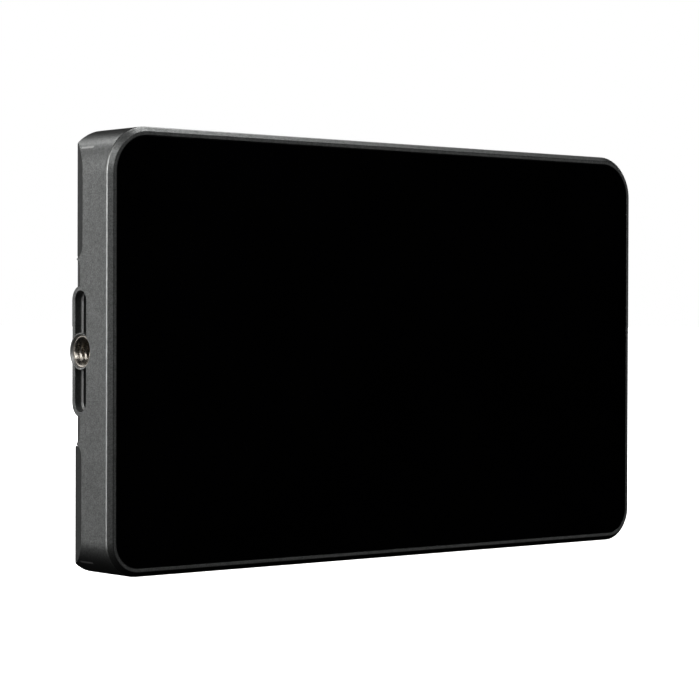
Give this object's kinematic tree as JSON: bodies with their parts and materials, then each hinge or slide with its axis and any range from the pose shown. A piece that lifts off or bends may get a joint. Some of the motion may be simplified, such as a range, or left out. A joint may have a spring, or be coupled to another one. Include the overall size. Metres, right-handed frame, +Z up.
{
  "type": "led panel light",
  "caption": "Slim rectangular LED panel light in a dark grey aluminium housing, with a flush black front and a slotted threaded side mount.",
  "frame": {"origin": "centre of the bounding box at its bottom, on the flat lower wall that the light stands on", "axes": "+X along the long side, +Y from the front window towards the rear controls, +Z up"},
  "size_m": [0.171, 0.0204, 0.103],
  "materials": {
    "housing_metal": "fine bead blast, dark grey anodised, bright cut edges",
    "cover_metal": "fine bead blast, dark grey anodised",
    "window_black": "gloss black, smoked when unlit",
    "gasket_rubber": "matte black foam adhesive",
    "diffuser_white": "milky white sheet",
    "reflector_white": "white",
    "led_board_mask": "white solder mask on an aluminium board",
    "led_warm": "amber phosphor",
    "led_cool": "yellow phosphor",
    "spreader_metal": "mill finish",
    "standoff_brass": "turned",
    "cell_wrap": "silver laminate pouch",
    "foam_pad": "closed cell foam",
    "bracket_plastic": "fine moulded texture",
    "board_mask": "green solder mask",
    "inductor_body": "sintered grey",
    "capacitor_body": "ceramic tan",
    "chip_body": "moulded epoxy",
    "connector_plastic": "natural nylon",
    "flex_film": "amber film",
    "switch_body": "moulded",
    "display_glass": "gloss black lens",
    "display_panel": "dark display glass",
    "light_pipe_clear": "clear rod",
    "usb_steel": "drawn shell",
    "usb_tongue_plastic": "moulded",
    "slider_plastic": "fine moulded texture",
    "insert_steel": "turned, bright countersink",
    "knob_metal": "black anodised, knurled",
    "knob_cap_metal": "spun face",
    "shaft_steel": "turned",
    "encoder_steel": "stamped case",
    "button_rubber": "soft touch",
    "plunger_plastic": "moulded",
    "screw_steel": "black oxide"
  },
  "bodies": {
    "light_body": {"battery_bracket": "bracket_plastic", "battery_cell_left": "cell_wrap", "battery_cell_right": "cell_wrap", "battery_pads": "foam_pad", "battery_protection_board": "board_mask", "board_plug": "connector_plastic", "board_socket": "connector_plastic", "bottom_thread_insert": "insert_steel", "bracket_screws": "screw_steel", "brightness_encoder": "encoder_steel", "capacitors": "capacitor_body", "colour_encoder": "encoder_steel", "control_board": "board_mask", "control_board_screws": "screw_steel", "controller_chips": "chip_body", "cool_leds": "led_cool", "diffuser_sheet": "diffuser_white", "display_holder": "bracket_plastic", "display_lens": "display_glass", "display_module": "display_panel", "front_window": "window_black", "heat_spreader": "spreader_metal", "housing": "housing_metal", "led_board": "led_board_mask", "led_board_screws": "screw_steel", "port_board": "board_mask", "port_board_screws": "screw_steel", "port_flex_cable": "flex_film", "power_inductors": "inductor_body", "power_switch_body": "switch_body", "push_switches": "switch_body", "rear_cover": "cover_metal", "rear_cover_screws": "screw_steel", "reflector_frame": "reflector_white", "side_thread_insert": "insert_steel", "spreader_standoffs": "standoff_brass", "status_light_pipe": "light_pipe_clear", "usb_socket_shell": "usb_steel", "usb_socket_tongue": "usb_tongue_plastic", "warm_leds": "led_warm", "window_gasket": "gasket_rubber"},
    "brightness_dial": {"brightness_knob": "knob_metal", "brightness_knob_cap": "knob_cap_metal", "brightness_shaft": "shaft_steel"},
    "colour_dial": {"colour_knob": "knob_metal", "colour_knob_cap": "knob_cap_metal", "colour_shaft": "shaft_steel"},
    "mode_key": {"mode_button": "button_rubber", "mode_plunger": "plunger_plastic"},
    "menu_key": {"menu_button": "button_rubber", "menu_plunger": "plunger_plastic"},
    "effect_key": {"effect_button": "button_rubber", "effect_plunger": "plunger_plastic"},
    "power_slide": {"power_slider": "slider_plastic"}
  },
  "joints": [
    {"name": "brightness_dial_turn", "type": "hinge", "parent": "light_body", "child": "brightness_dial", "pos_m": [0.058, 0.009, 0.0685], "axis": [0, 1, 0], "continuous": true},
    {"name": "colour_dial_turn", "type": "hinge", "parent": "light_body", "child": "colour_dial", "pos_m": [0.058, 0.009, 0.0345], "axis": [0, 1, 0], "continuous": true},
    {"name": "mode_button_press", "type": "slide", "parent": "light_body", "child": "mode_key", "axis": [0, -1, 0], "range_m": [0, 0.0004], "stiffness_N_per_m": 800},
    {"name": "menu_button_press", "type": "slide", "parent": "light_body", "child": "menu_key", "axis": [0, -1, 0], "range_m": [0, 0.0004], "stiffness_N_per_m": 800},
    {"name": "effect_button_press", "type": "slide", "parent": "light_body", "child": "effect_key", "axis": [0, -1, 0], "range_m": [0, 0.0004], "stiffness_N_per_m": 800},
    {"name": "power_slider_move", "type": "slide", "parent": "light_body", "child": "power_slide", "axis": [0, 0, 1], "range_m": [0, 0.004]}
  ]
}
